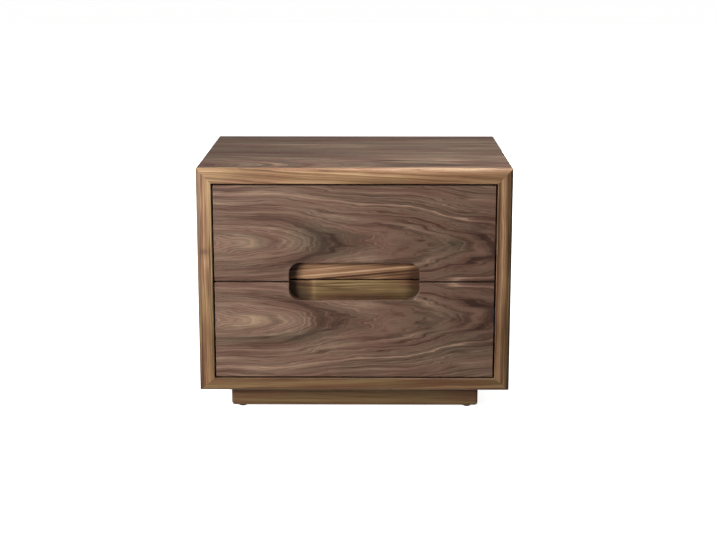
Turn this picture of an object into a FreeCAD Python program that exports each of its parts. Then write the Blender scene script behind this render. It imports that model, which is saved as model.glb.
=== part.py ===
import FreeCAD, Part
import os
from math import atan2, cos, degrees, pi, sin

# Two-drawer nightstand in walnut: a mitred case with solid lippings round its front, two inset drawers that
# share one finger cut-out at the line between them, ball-bearing slides, and a recessed plinth on glides.
# Lengths are in millimetres. The origin is on the floor, under the middle of the case.
# +X is to the right as seen from the front, -Y is the front and +Z is up.

# Whole nightstand
WIDTH = 560.0
DEPTH = 406.0
HEIGHT = 455.0

# Case boards and their lippings
TOP_THICKNESS = 28.0
SIDE_THICKNESS = 27.0
BOTTOM_THICKNESS = 23.0
CORNER_RADIUS = 2.5
LIPPING_DEPTH = 9.0
ARRIS_RADIUS = 6.0
MOUTH_EASING = 1.0

# Back panel, screwed into a rebate round the back of the case
BACK_THICKNESS = 6.0
BACK_LAP = 9.0
BACK_RECESS = 4.0
BACK_PLAY = 0.5
BACK_SCREW_LENGTH = 18.0
BACK_SCREW_SHARES = (0.1, 0.5, 0.9)

# Loose tenons across the four mitres of the case
TENON_THICKNESS = 5.0
TENON_WIDTH = 24.0
TENON_LENGTH = 18.0
TENON_PLAY = 0.1
TENON_ROUND_SHARE = 0.48
TENON_SEAT_SHARE = 0.55
TENON_SHARES = (0.17, 0.5, 0.83)

# Plinth
PLINTH_HEIGHT = 44.0
PLINTH_THICKNESS = 18.0
PLINTH_SIDE_INSET = 52.0
PLINTH_FRONT_INSET = 50.0
PLINTH_BACK_INSET = 50.0
PLINTH_CORNER_RADIUS = 4.5
PLINTH_LOW_RADIUS = 6.0
BLOCK_SIZE = 34.0
PLINTH_SCREW_BITE = 14.0

# Glides under the plinth
GLIDE_HEIGHT = 3.0
GLIDE_RADIUS = 8.0
GLIDE_EASING = 0.8
GLIDE_END_INSET = 20.0
GLIDE_NAIL_RADIUS = 1.2
GLIDE_NAIL_LENGTH = 14.0

# Drawer fronts and the cut-out that they share
FRONT_GAP = 3.0
FRONT_SETBACK = 1.0
FRONT_THICKNESS = 18.0
FRONT_EASING = 0.8
LOWER_FRONT_HEIGHT = 175.0
PULL_LENGTH = 234.0
PULL_HEIGHT = 69.0
PULL_RADIUS = 20.0
HOOK_LIP = 7.0
HOOK_RISE = 9.0

# Drawer boxes
BOX_WALL = 12.0
BOX_MARGIN = 24.0
REAR_ROOM = 27.0
BASE_THICKNESS = 6.0
GROOVE_DEPTH = 6.0
GROOVE_RISE = 10.0
GROOVE_PLAY = 0.2
DOWEL_RADIUS = 3.0
DOWEL_LENGTH = 30.0
DOWEL_SEAT = 8.0
DOWEL_CHAMFER = 0.8
DOWEL_SHARES = (0.3, 0.8)
FRONT_SCREW_BITE = 13.0
FRONT_SCREW_EDGE = 58.0
FRONT_SCREW_RISE_SHARES = (0.25, 0.78)

# Ball-bearing slides, one on each side of each drawer
SLIDE_THICKNESS = 12.7
SLIDE_HEIGHT = 45.0
SLIDE_SHEET = 1.2
SLIDE_GAP = 0.3
FLANGE_GAP = 0.7
RACE_GAP = 2.4
BALL_RADIUS = 1.6
BALL_PLAY = 0.05
BALL_PLACE_SHARE = 0.6
BALL_PITCH = 24.0
CAGE_SHEET = 0.5
CAGE_HOLE_PLAY = 0.1
CAGE_START_SHARE = 0.29
CAGE_LENGTH_SHARE = 0.42
SLIDE_SCREW_SHARES = (0.11, 0.47, 0.86)
CASE_SLIDE_SCREW_BITE = 15.0
DRAWER_SLIDE_SCREW_BITE = 9.0

# Countersunk wood screws and the fits of round pieces in wood
SCREW_RADIUS = 1.75
SCREW_HEAD_RADIUS = 3.4
SCREW_HEAD_HEIGHT = 2.0
SCREW_TIP = 3.0
RECESS_SPAN = 3.6
RECESS_WIDTH = 0.8
RECESS_DEPTH = 1.3
PEG_PLAY = 0.05

# How far a cutting shape runs past the face that it opens
OVERRUN = 2.0

# Share of a length below which two directions or two places count as the same
SAME_SHARE = 1e-5

# Levels and planes that follow from the sizes above
CASE_FLOOR_Z = GLIDE_HEIGHT + PLINTH_HEIGHT
MOUTH_LEFT = -WIDTH / 2 + SIDE_THICKNESS
MOUTH_RIGHT = WIDTH / 2 - SIDE_THICKNESS
MOUTH_LOW_Z = CASE_FLOOR_Z + BOTTOM_THICKNESS
MOUTH_HIGH_Z = HEIGHT - TOP_THICKNESS
FRONT_Y = -DEPTH / 2
BACK_Y = DEPTH / 2
PANEL_FRONT_Y = FRONT_Y + LIPPING_DEPTH
REBATE_Y = BACK_Y - BACK_RECESS - BACK_THICKNESS
DRAWER_FACE_Y = FRONT_Y + FRONT_SETBACK
BOX_FRONT_Y = DRAWER_FACE_Y + FRONT_THICKNESS
BOX_BACK_Y = REBATE_Y - REAR_ROOM
SLIDE_LENGTH = BOX_BACK_Y - BOX_FRONT_Y
BOX_LEFT = MOUTH_LEFT + SLIDE_THICKNESS
BOX_RIGHT = MOUTH_RIGHT - SLIDE_THICKNESS
NOTCH_HEIGHT = (PULL_HEIGHT - FRONT_GAP) / 2
LOWER_FRONT_Z = (MOUTH_LOW_Z + FRONT_GAP, MOUTH_LOW_Z + FRONT_GAP + LOWER_FRONT_HEIGHT)
UPPER_FRONT_Z = (LOWER_FRONT_Z[1] + FRONT_GAP, MOUTH_HIGH_Z - FRONT_GAP)

X_AXIS = FreeCAD.Vector(1, 0, 0)
Y_AXIS = FreeCAD.Vector(0, 1, 0)
Z_AXIS = FreeCAD.Vector(0, 0, 1)
ORIGIN = FreeCAD.Vector(0, 0, 0)
RIGHT_ANGLE = 90
FULL_TURN = 360


def save(node, *shapes):
    """Write one node: a single piece, or a group of like pieces that stay separate solids."""
    shape = shapes[0] if len(shapes) == 1 else Part.makeCompound(shapes)
    shape.exportStep(os.path.join("parts", node + ".step"))


def block(x_span, y_span, z_span):
    """A box from three (low, high) pairs."""
    (x0, x1), (y0, y1), (z0, z1) = x_span, y_span, z_span
    return Part.makeBox(x1 - x0, y1 - y0, z1 - z0, FreeCAD.Vector(x0, y0, z0))


def centred(length):
    """The (low, high) pair of a length laid evenly about zero."""
    return -length / 2, length / 2


def prism(points, travel):
    """A flat outline of straight sides, pushed along a vector."""
    return Part.Face(Part.makePolygon([*points, points[0]])).extrude(travel)


def edges_along(shape, axis):
    """The straight edges of a shape that run along an axis."""
    found = []
    for edge in shape.Edges:
        run = edge.lastVertex().Point - edge.firstVertex().Point
        if run.cross(axis).Length < run.Length * SAME_SHARE:
            found.append(edge)
    return found


def edges_at_y(shape, y):
    """The edges of a shape that lie in one plane across Y."""
    near = shape.BoundBox.DiagonalLength * SAME_SHARE
    return [edge for edge in shape.Edges
            if max(abs(edge.BoundBox.YMin - y), abs(edge.BoundBox.YMax - y)) < near]


def mirrored(shape):
    """The same piece on the other side of the nightstand."""
    return shape.mirror(ORIGIN, X_AXIS)


def turned(profile, place, direction):
    """A round piece from its (radius, height) outline, stood at a place and pointed along a direction."""
    points = [FreeCAD.Vector(radius, 0, height) for radius, height in profile]
    face = Part.Face(Part.makePolygon([*points, points[0]]))
    piece = face.revolve(ORIGIN, Z_AXIS, FULL_TURN)
    piece.Placement = FreeCAD.Placement(place, FreeCAD.Rotation(Z_AXIS, direction))
    return piece


def rod(radius, start, travel):
    """A plain cylinder from a point along a vector."""
    return Part.makeCylinder(radius, travel.Length, start, travel)


# Fasteners

def screw(head, direction, length):
    """A countersunk wood screw whose head lies flush at a point, with a cross recess."""
    profile = [(0, 0), (SCREW_HEAD_RADIUS, 0), (SCREW_RADIUS, SCREW_HEAD_HEIGHT),
               (SCREW_RADIUS, length - SCREW_TIP), (0, length)]
    piece = turned(profile, head, direction)
    for wide, narrow in ((RECESS_SPAN, RECESS_WIDTH), (RECESS_WIDTH, RECESS_SPAN)):
        slot = block(centred(wide), centred(narrow), (-OVERRUN, RECESS_DEPTH))
        slot.Placement = piece.Placement
        piece = piece.cut(slot)
    return piece


def screw_hole(head, direction, length):
    """The countersunk hole that takes such a screw."""
    head_radius = SCREW_HEAD_RADIUS + PEG_PLAY
    radius = SCREW_RADIUS + PEG_PLAY
    profile = [(0, -OVERRUN), (head_radius, -OVERRUN), (head_radius, 0), (radius, SCREW_HEAD_HEIGHT),
               (radius, length + PEG_PLAY - SCREW_TIP), (0, length + PEG_PLAY)]
    return turned(profile, head, direction)


# Case

def case_corner(left_or_right, low_or_high, inner):
    """An outer or an inner corner of the case front, as a point in the plane of X and Z."""
    outer_x = left_or_right * WIDTH / 2
    outer_z = HEIGHT if low_or_high > 0 else CASE_FLOOR_Z
    if not inner:
        return FreeCAD.Vector(outer_x, 0, outer_z)
    inner_z = MOUTH_HIGH_Z if low_or_high > 0 else MOUTH_LOW_Z
    return FreeCAD.Vector(outer_x - left_or_right * SIDE_THICKNESS, 0, inner_z)


CASE_ENDS = {"top": ((-1, 1), (1, 1)), "bottom": ((-1, -1), (1, -1)),
             "left": ((-1, -1), (-1, 1)), "right": ((1, -1), (1, 1))}


def mitred_board(name, front_y, back_y):
    """One board of the case, cut at both ends from its outer to its inner corner."""
    start, end = CASE_ENDS[name]
    outline = [case_corner(*start, False), case_corner(*end, False),
               case_corner(*end, True), case_corner(*start, True)]
    board = prism(outline, Y_AXIS * (back_y - front_y))
    board.translate(Y_AXIS * front_y)
    return board


def case_outline():
    """The whole outer form of the case, with its long outer edges and its front arris rounded."""
    spans = (-WIDTH / 2, WIDTH / 2), (FRONT_Y, BACK_Y), (CASE_FLOOR_Z, HEIGHT)
    long_edges = block(*spans)
    long_edges = long_edges.makeFillet(CORNER_RADIUS, edges_along(long_edges, Y_AXIS))
    arris = block(*spans)
    arris = arris.makeFillet(ARRIS_RADIUS, edges_at_y(arris, FRONT_Y))
    return long_edges.common(arris)


def mouth_chamfer():
    """The flared shape that eases the inner edge of the lippings."""
    rings = []
    for y, growth in ((FRONT_Y, MOUTH_EASING), (FRONT_Y + MOUTH_EASING, 0)):
        xs = MOUTH_LEFT - growth, MOUTH_RIGHT + growth
        zs = MOUTH_LOW_Z - growth, MOUTH_HIGH_Z + growth
        corners = [FreeCAD.Vector(x, y, z) for x, z in
                   ((xs[0], zs[0]), (xs[1], zs[0]), (xs[1], zs[1]), (xs[0], zs[1]))]
        rings.append(Part.makePolygon([*corners, corners[0]]))
    return Part.makeLoft(rings, True, True)


def back_rebate():
    """The step round the back of the case that takes the back panel."""
    reach = BACK_LAP + BACK_PLAY
    return block((MOUTH_LEFT - reach, MOUTH_RIGHT + reach), (REBATE_Y, BACK_Y + OVERRUN),
                 (MOUTH_LOW_Z - reach, MOUTH_HIGH_Z + reach))


def corner_tenons(play):
    """The loose tenons of all four mitres, or with play their mortises."""
    thickness, width, length = (size + 2 * play for size in (TENON_THICKNESS, TENON_WIDTH, TENON_LENGTH))
    tenons = []
    for left_or_right in (-1, 1):
        for low_or_high in (-1, 1):
            outer = case_corner(left_or_right, low_or_high, False)
            inner = case_corner(left_or_right, low_or_high, True)
            seat = outer + (inner - outer) * TENON_SEAT_SHARE
            slope = degrees(atan2((inner - outer).z, (inner - outer).x))
            for share in TENON_SHARES:
                tenon = block(centred(length), centred(width), centred(thickness))
                tenon = tenon.makeFillet(thickness * TENON_ROUND_SHARE, edges_along(tenon, X_AXIS))
                y = PANEL_FRONT_Y + (BACK_Y - PANEL_FRONT_Y) * share
                across = FreeCAD.Rotation(Y_AXIS, RIGHT_ANGLE - slope)
                tenon.Placement = FreeCAD.Placement(seat + Y_AXIS * y, across)
                tenons.append(tenon)
    return tenons


def back_screw_heads():
    """Where the screws of the back panel sit, along its four edges."""
    y = REBATE_Y + BACK_THICKNESS
    xs = MOUTH_LEFT - BACK_LAP / 2, MOUTH_RIGHT + BACK_LAP / 2
    zs = MOUTH_LOW_Z - BACK_LAP / 2, MOUTH_HIGH_Z + BACK_LAP / 2
    heads = []
    for share in BACK_SCREW_SHARES:
        heads += [FreeCAD.Vector(x, y, zs[0] + (zs[1] - zs[0]) * share) for x in xs]
        heads += [FreeCAD.Vector(xs[0] + (xs[1] - xs[0]) * share, y, z) for z in zs]
    return heads


def build_case():
    outline = case_outline()
    rebate = back_rebate()
    mortises = corner_tenons(TENON_PLAY)
    heads = back_screw_heads()
    back_holes = [screw_hole(head, -Y_AXIS, BACK_SCREW_LENGTH) for head in heads]
    slide_holes = [screw_hole(head, direction, length) for head, direction, length in case_slide_screws()]
    plinth_holes = [screw_hole(head, Z_AXIS, PLINTH_SCREW_LENGTH) for head in plinth_screw_heads()]
    panels = {"top": "top_panel", "bottom": "bottom_panel",
              "left": "left_side_panel", "right": "right_side_panel"}
    for side, node in panels.items():
        board = mitred_board(side, PANEL_FRONT_Y, BACK_Y).common(outline)
        save(node, board.cut([rebate, *mortises, *back_holes, *slide_holes, *plinth_holes]))
        lipping = mitred_board(side, FRONT_Y, PANEL_FRONT_Y).common(outline)
        save(side + "_lipping", lipping.cut(mouth_chamfer()))
    back = block((MOUTH_LEFT - BACK_LAP, MOUTH_RIGHT + BACK_LAP), (REBATE_Y, REBATE_Y + BACK_THICKNESS),
                 (MOUTH_LOW_Z - BACK_LAP, MOUTH_HIGH_Z + BACK_LAP))
    save("back_panel", back.cut(back_holes))
    save("back_screws", *[screw(head, -Y_AXIS, BACK_SCREW_LENGTH) for head in heads])
    save("corner_tenons", *corner_tenons(0))
    save("case_slide_screws", *[screw(*place) for place in case_slide_screws()])


# Plinth

PLINTH_X = (-WIDTH / 2 + PLINTH_SIDE_INSET, WIDTH / 2 - PLINTH_SIDE_INSET)
PLINTH_Y = (FRONT_Y + PLINTH_FRONT_INSET, BACK_Y - PLINTH_BACK_INSET)
PLINTH_Z = (GLIDE_HEIGHT, CASE_FLOOR_Z)
PLINTH_SCREW_LENGTH = PLINTH_HEIGHT + PLINTH_SCREW_BITE


def plinth_corners():
    """The four outer corners of the plinth, each with the signs that point back to its middle."""
    return [(x, y, 1 if x < 0 else -1, toward) for x in PLINTH_X for y, toward in zip(PLINTH_Y, (1, -1))]


def plinth_board(start, end, inward):
    """One board of the plinth, mitred at both ends. Inward points from its face to the plinth's middle."""
    run = (end - start).normalize()
    shift = inward * PLINTH_THICKNESS
    outline = [start, end, end + shift - run * PLINTH_THICKNESS, start + shift + run * PLINTH_THICKNESS]
    return prism(outline, Z_AXIS * PLINTH_HEIGHT)


def plinth_screw_heads():
    """The screws that go up through the corner blocks into the case."""
    reach = PLINTH_THICKNESS + BLOCK_SIZE / 2
    return [FreeCAD.Vector(x + toward_x * reach, y + toward_y * reach, GLIDE_HEIGHT)
            for x, y, toward_x, toward_y in plinth_corners()]


def glide_centres():
    """The middles of the glides, under the front and back boards near their ends."""
    return [FreeCAD.Vector(x + toward_x * GLIDE_END_INSET, y + toward_y * PLINTH_THICKNESS / 2, 0)
            for x, y, toward_x, toward_y in plinth_corners()]


def glide(centre):
    """A round pad with an eased rim, on a nail that goes up into the board."""
    rim = GLIDE_RADIUS - GLIDE_EASING
    top = GLIDE_HEIGHT + GLIDE_NAIL_LENGTH
    profile = [(0, 0), (rim, 0), (GLIDE_RADIUS, GLIDE_EASING), (GLIDE_RADIUS, GLIDE_HEIGHT),
               (GLIDE_NAIL_RADIUS, GLIDE_HEIGHT), (GLIDE_NAIL_RADIUS, top - GLIDE_NAIL_RADIUS), (0, top)]
    return turned(profile, centre, Z_AXIS)


def plinth_outline():
    """The whole outer form of the plinth, with its upright edges and the lower edges of its ends rounded."""
    spans = PLINTH_X, PLINTH_Y, PLINTH_Z
    upright = block(*spans)
    upright = upright.makeFillet(PLINTH_CORNER_RADIUS, edges_along(upright, Z_AXIS))
    low_ends = block(*spans)
    low_edges = [edge for edge in edges_along(low_ends, Y_AXIS) if edge.BoundBox.ZMax < CASE_FLOOR_Z / 2]
    return upright.common(low_ends.makeFillet(PLINTH_LOW_RADIUS, low_edges))


def build_plinth():
    outline = plinth_outline()
    nail_hole = Z_AXIS * (GLIDE_HEIGHT + GLIDE_NAIL_LENGTH + PEG_PLAY)
    nail_holes = [rod(GLIDE_NAIL_RADIUS + PEG_PLAY, centre, nail_hole) for centre in glide_centres()]
    (left, right), (front, back) = PLINTH_X, PLINTH_Y
    runs = {"front": ((left, front), (right, front), Y_AXIS),
            "back": ((left, back), (right, back), -Y_AXIS),
            "left": ((left, front), (left, back), X_AXIS),
            "right": ((right, front), (right, back), -X_AXIS)}
    for side, (start, end, inward) in runs.items():
        start, end = (FreeCAD.Vector(x, y, GLIDE_HEIGHT) for x, y in (start, end))
        board = plinth_board(start, end, inward).common(outline)
        save("plinth_" + side, board.cut(nail_holes))
    blocks = []
    for head in plinth_screw_heads():
        x_span, y_span = ([middle + end for end in centred(BLOCK_SIZE)] for middle in (head.x, head.y))
        corner_block = block(x_span, y_span, PLINTH_Z)
        blocks.append(corner_block.cut(screw_hole(head, Z_AXIS, PLINTH_SCREW_LENGTH)))
    save("plinth_corner_blocks", *blocks)
    save("plinth_screws", *[screw(head, Z_AXIS, PLINTH_SCREW_LENGTH) for head in plinth_screw_heads()])
    save("glides", *[glide(centre) for centre in glide_centres()])


# Drawers

class Drawer:
    """Levels of one drawer. The line between the drawers is below the upper one and above the lower one."""

    def __init__(self, name, front_z):
        self.name = name
        self.front_z = front_z
        self.up = 1 if name == "upper" else -1
        self.line_z = front_z[0] if self.up > 0 else front_z[1]
        height = front_z[1] - front_z[0] - BOX_MARGIN
        self.box_z = tuple(sorted((self.line_z, self.line_z + self.up * height)))
        self.slide_z = sum(self.box_z) / 2


DRAWERS = [Drawer("upper", UPPER_FRONT_Z), Drawer("lower", LOWER_FRONT_Z)]


def drawer_face(drawer):
    """The outline of a drawer front, with its half of the cut-out, in the plane of its face."""
    far_z = drawer.front_z[1] if drawer.up > 0 else drawer.front_z[0]
    left, right = MOUTH_LEFT + FRONT_GAP, MOUTH_RIGHT - FRONT_GAP
    notch_z = drawer.line_z + drawer.up * NOTCH_HEIGHT
    bend_z = notch_z - drawer.up * PULL_RADIUS
    half = PULL_LENGTH / 2
    bend_x = half - PULL_RADIUS
    mid_x, mid_z = bend_x + PULL_RADIUS * sin(pi / 4), bend_z + drawer.up * PULL_RADIUS * cos(pi / 4)

    def at(x, z):
        return FreeCAD.Vector(x, DRAWER_FACE_Y, z)

    def line(*ends):
        return Part.LineSegment(at(*ends[0]), at(*ends[1])).toShape()

    def arc(*points):
        return Part.Arc(*[at(*point) for point in points]).toShape()

    edges = [line((left, drawer.line_z), (-half, drawer.line_z)),
             line((-half, drawer.line_z), (-half, bend_z)),
             arc((-half, bend_z), (-mid_x, mid_z), (-bend_x, notch_z)),
             line((-bend_x, notch_z), (bend_x, notch_z)),
             arc((bend_x, notch_z), (mid_x, mid_z), (half, bend_z)),
             line((half, bend_z), (half, drawer.line_z)),
             line((half, drawer.line_z), (right, drawer.line_z)),
             line((right, drawer.line_z), (right, far_z)),
             line((right, far_z), (left, far_z)),
             line((left, far_z), (left, drawer.line_z))]
    return Part.Face(Part.Wire(edges))


def finger_hook(drawer):
    """The undercut behind the edge of the cut-out, which the fingers pull on."""
    half = PULL_LENGTH / 2 - PULL_RADIUS
    lip_y, past_y = DRAWER_FACE_Y + HOOK_LIP, BOX_FRONT_Y + OVERRUN
    edge_z = drawer.line_z + drawer.up * NOTCH_HEIGHT
    deep_z, open_z = edge_z + drawer.up * HOOK_RISE, edge_z - drawer.up * OVERRUN
    outline = [(lip_y, open_z), (lip_y, edge_z), (BOX_FRONT_Y, deep_z), (past_y, deep_z), (past_y, open_z)]
    return prism([FreeCAD.Vector(-half, y, z) for y, z in outline], X_AXIS * (2 * half))


def front_screws(drawer):
    """The screws that hold the front, driven from inside the box."""
    low, high = drawer.box_z
    xs = BOX_LEFT + FRONT_SCREW_EDGE, BOX_RIGHT - FRONT_SCREW_EDGE
    return [(FreeCAD.Vector(x, BOX_FRONT_Y + BOX_WALL, low + (high - low) * share), -Y_AXIS,
             BOX_WALL + FRONT_SCREW_BITE) for x in xs for share in FRONT_SCREW_RISE_SHARES]


def box_dowels(drawer, play):
    """The dowels between the box sides and the boards that stand between them, or their holes."""
    low, high = drawer.box_z
    radius, length = DOWEL_RADIUS + play, DOWEL_LENGTH + 2 * play
    chamfer = DOWEL_CHAMFER
    profile = [(0, 0), (radius - chamfer, 0), (radius, chamfer), (radius, length - chamfer),
               (radius - chamfer, length), (0, length)]
    dowels = []
    for x, inward in ((BOX_LEFT + BOX_WALL, X_AXIS), (BOX_RIGHT - BOX_WALL, -X_AXIS)):
        for y in (BOX_FRONT_Y + BOX_WALL / 2, BOX_BACK_Y - BOX_WALL / 2):
            for share in DOWEL_SHARES:
                start = FreeCAD.Vector(x, y, low + (high - low) * share) - inward * (DOWEL_SEAT + play)
                dowels.append(turned(profile, start, inward))
    return dowels


def base_span(growth):
    """The space of the drawer base across the box, with growth at each side."""
    reach = GROOVE_DEPTH - GROOVE_PLAY + growth
    inner_x = BOX_LEFT + BOX_WALL - reach, BOX_RIGHT - BOX_WALL + reach
    inner_y = BOX_FRONT_Y + BOX_WALL - reach, BOX_BACK_Y - BOX_WALL + reach
    return inner_x, inner_y


def build_drawer(drawer):
    name = drawer.name + "_"
    low, high = drawer.box_z
    screws = front_screws(drawer)
    screw_holes = [screw_hole(*place) for place in screws]
    front = drawer_face(drawer).extrude(Y_AXIS * FRONT_THICKNESS)
    front = front.makeFillet(FRONT_EASING, edges_at_y(front, DRAWER_FACE_Y))
    save(name + "drawer_front", front.cut([finger_hook(drawer), *screw_holes]))

    base_z = low + GROOVE_RISE
    groove = block(*base_span(GROOVE_PLAY), (base_z - GROOVE_PLAY, base_z + BASE_THICKNESS + GROOVE_PLAY))
    dowel_holes = box_dowels(drawer, PEG_PLAY)
    rail_screws = drawer_slide_screws(drawer)
    cuts = [groove, *dowel_holes, *screw_holes, *[screw_hole(*place) for place in rail_screws]]
    between = BOX_LEFT + BOX_WALL, BOX_RIGHT - BOX_WALL
    full = BOX_FRONT_Y, BOX_BACK_Y
    save(name + "box_front", block(between, (BOX_FRONT_Y, BOX_FRONT_Y + BOX_WALL), (low, high)).cut(cuts))
    save(name + "box_back", block(between, (BOX_BACK_Y - BOX_WALL, BOX_BACK_Y), (low, high)).cut(cuts))
    save(name + "box_left_side", block((BOX_LEFT, between[0]), full, (low, high)).cut(cuts))
    save(name + "box_right_side", block((between[1], BOX_RIGHT), full, (low, high)).cut(cuts))
    save(name + "box_base", block(*base_span(0), (base_z, base_z + BASE_THICKNESS)))
    save(name + "box_dowels", *box_dowels(drawer, 0))
    save(name + "front_screws", *[screw(*place) for place in screws])
    save(name + "drawer_slide_screws", *[screw(*place) for place in rail_screws])


# Slides. Three channels nest in each other, with rows of caged balls between their flanges.

CASE_RAIL_HALF = SLIDE_HEIGHT / 2
MIDDLE_RAIL_HALF = CASE_RAIL_HALF - SLIDE_SHEET - RACE_GAP
DRAWER_RAIL_HALF = MIDDLE_RAIL_HALF - SLIDE_SHEET - RACE_GAP
OUTER_RACE = CASE_RAIL_HALF - SLIDE_SHEET - RACE_GAP / 2
INNER_RACE = MIDDLE_RAIL_HALF - SLIDE_SHEET - RACE_GAP / 2
OUTER_CAGE_X = SLIDE_SHEET + SLIDE_GAP
MIDDLE_RAIL_X = OUTER_CAGE_X + CAGE_SHEET + SLIDE_GAP
INNER_CAGE_X = MIDDLE_RAIL_X + SLIDE_SHEET + SLIDE_GAP
DRAWER_FLANGE_X = INNER_CAGE_X + CAGE_SHEET + SLIDE_GAP
BALL_X = SLIDE_THICKNESS * BALL_PLACE_SHARE
CAGE_ARM_X = BALL_X + BALL_RADIUS + CAGE_SHEET
CAGE_Y = (BOX_FRONT_Y + SLIDE_LENGTH * CAGE_START_SHARE,
          BOX_FRONT_Y + SLIDE_LENGTH * (CAGE_START_SHARE + CAGE_LENGTH_SHARE))


def channel(web_x, tip_x, half, sheet, y_span, z):
    """A channel of thin sheet. Its web is at web_x and its flanges reach to tip_x."""
    toward = 1 if tip_x > web_x else -1
    y0, y1 = y_span
    inside_x, inside = web_x + toward * sheet, half - sheet
    outline = [(web_x, -half), (tip_x, -half), (tip_x, -inside), (inside_x, -inside),
               (inside_x, inside), (tip_x, inside), (tip_x, half), (web_x, half)]
    points = [FreeCAD.Vector(MOUTH_LEFT + x, y0, z + up) for x, up in outline]
    return prism(points, Y_AXIS * (y1 - y0))


def ball_rows(race, z):
    """The middles of the balls in a cage's two rows."""
    y0, y1 = CAGE_Y
    count = int((y1 - y0) / BALL_PITCH)
    first = (y0 + y1 - (count - 1) * BALL_PITCH) / 2
    return [FreeCAD.Vector(MOUTH_LEFT + BALL_X, first + turn * BALL_PITCH, z + up)
            for up in (-race, race) for turn in range(count)]


def races(race, z):
    """The grooves that a pair of ball rows runs in."""
    start_y = BOX_FRONT_Y - OVERRUN
    return [rod(BALL_RADIUS + BALL_PLAY, FreeCAD.Vector(MOUTH_LEFT + BALL_X, start_y, z + up),
                Y_AXIS * (SLIDE_LENGTH + 2 * OVERRUN)) for up in (-race, race)]


def cage(web_x, race, z):
    """A thin channel with a hole for each ball."""
    half = race + CAGE_SHEET / 2
    body = channel(web_x, CAGE_ARM_X, half, CAGE_SHEET, CAGE_Y, z)
    radius = BALL_RADIUS + CAGE_HOLE_PLAY
    reach = BALL_RADIUS
    return body.cut([rod(radius, ball - Z_AXIS * reach, Z_AXIS * (2 * reach)) for ball in ball_rows(race, z)])


def slide_screw_places(x, direction, length, z):
    """Screws along one rail on the left, each with its direction and length."""
    return [(FreeCAD.Vector(x, BOX_FRONT_Y + SLIDE_LENGTH * share, z), direction, length)
            for share in SLIDE_SCREW_SHARES]


def both_sides(places):
    """Screw places on the left and on the right."""
    right = [(FreeCAD.Vector(-head.x, head.y, head.z), -direction, length)
             for head, direction, length in places]
    return [*places, *right]


def case_slide_screws():
    """The screws that hold the outer rails to the case sides."""
    length = SLIDE_SHEET + CASE_SLIDE_SCREW_BITE
    places = []
    for drawer in DRAWERS:
        places += slide_screw_places(MOUTH_LEFT + SLIDE_SHEET, -X_AXIS, length, drawer.slide_z)
    return both_sides(places)


def drawer_slide_screws(drawer):
    """The screws that hold the inner rails to a drawer box."""
    length = SLIDE_SHEET + DRAWER_SLIDE_SCREW_BITE
    return both_sides(slide_screw_places(BOX_LEFT - SLIDE_SHEET, X_AXIS, length, drawer.slide_z))


def build_slides(drawer):
    name = drawer.name + "_"
    z = drawer.slide_z
    rail_y = (BOX_FRONT_Y, BOX_BACK_Y)
    case_holes = [screw_hole(*place) for place in case_slide_screws()]
    drawer_holes = [screw_hole(*place) for place in drawer_slide_screws(drawer)]
    case_rail = channel(0, SLIDE_THICKNESS - FLANGE_GAP, CASE_RAIL_HALF, SLIDE_SHEET, rail_y, z)
    middle_tip = SLIDE_THICKNESS - SLIDE_SHEET - SLIDE_GAP
    middle_rail = channel(MIDDLE_RAIL_X, middle_tip, MIDDLE_RAIL_HALF, SLIDE_SHEET, rail_y, z)
    drawer_rail = channel(SLIDE_THICKNESS, DRAWER_FLANGE_X, DRAWER_RAIL_HALF, SLIDE_SHEET, rail_y, z)
    outer_races, inner_races = races(OUTER_RACE, z), races(INNER_RACE, z)
    rails = {"case_rail": case_rail.cut([*outer_races, *case_holes]),
             "middle_rail": middle_rail.cut([*outer_races, *inner_races]),
             "drawer_rail": drawer_rail.cut([*inner_races, *drawer_holes])}
    for rail, shape in rails.items():
        save(name + "left_" + rail, shape)
        save(name + "right_" + rail, mirrored(shape))
    for row, web_x, race in (("outer", OUTER_CAGE_X, OUTER_RACE), ("inner", INNER_CAGE_X, INNER_RACE)):
        shape = cage(web_x, race, z)
        save(name + row + "_ball_cages", shape, mirrored(shape))
        balls = [Part.makeSphere(BALL_RADIUS, centre) for centre in ball_rows(race, z)]
        save(name + row + "_balls", *balls, *[mirrored(ball) for ball in balls])


os.makedirs("parts", exist_ok=True)
build_case()
build_plinth()
for each_drawer in DRAWERS:
    build_drawer(each_drawer)
    build_slides(each_drawer)
print("slide length and full travel", SLIDE_LENGTH)
print("upper front", UPPER_FRONT_Z, "lower front", LOWER_FRONT_Z)
print("boxes", [drawer.box_z for drawer in DRAWERS])
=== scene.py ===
"""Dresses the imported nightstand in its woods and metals, and sets it in a plain pale studio."""
import math
from typing import NamedTuple

import bmesh
import bpy
from bpy.props import FloatProperty, FloatVectorProperty, IntProperty, PointerProperty
from mathutils import Matrix, Vector


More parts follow.
